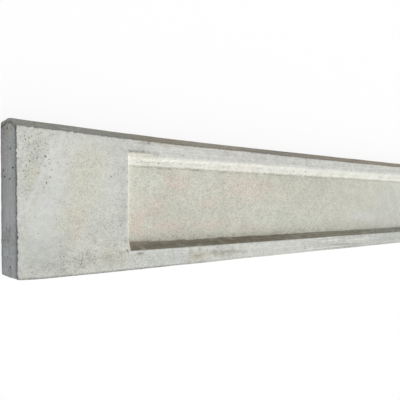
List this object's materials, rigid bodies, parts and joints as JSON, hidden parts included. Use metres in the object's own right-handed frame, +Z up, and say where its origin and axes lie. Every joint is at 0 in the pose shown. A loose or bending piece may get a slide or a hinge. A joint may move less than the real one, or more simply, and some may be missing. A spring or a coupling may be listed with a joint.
{
  "type": "concrete gravel board",
  "caption": "Long cast concrete board with a shallow recessed panel in its face and a splayed top edge, set at ground level below a fence panel.",
  "frame": {"origin": "centre of the flat back, which the board lies on", "axes": "+X along the length, +Y across the height to the splayed top edge, +Z up through the thickness to the recessed face"},
  "size_m": [1.83, 0.15, 0.05],
  "materials": {
    "concrete": "matt, as cast, with a fine sandy grain and small air holes"
  },
  "bodies": {
    "root": {"gravel_board": "concrete"}
  },
  "joints": []
}
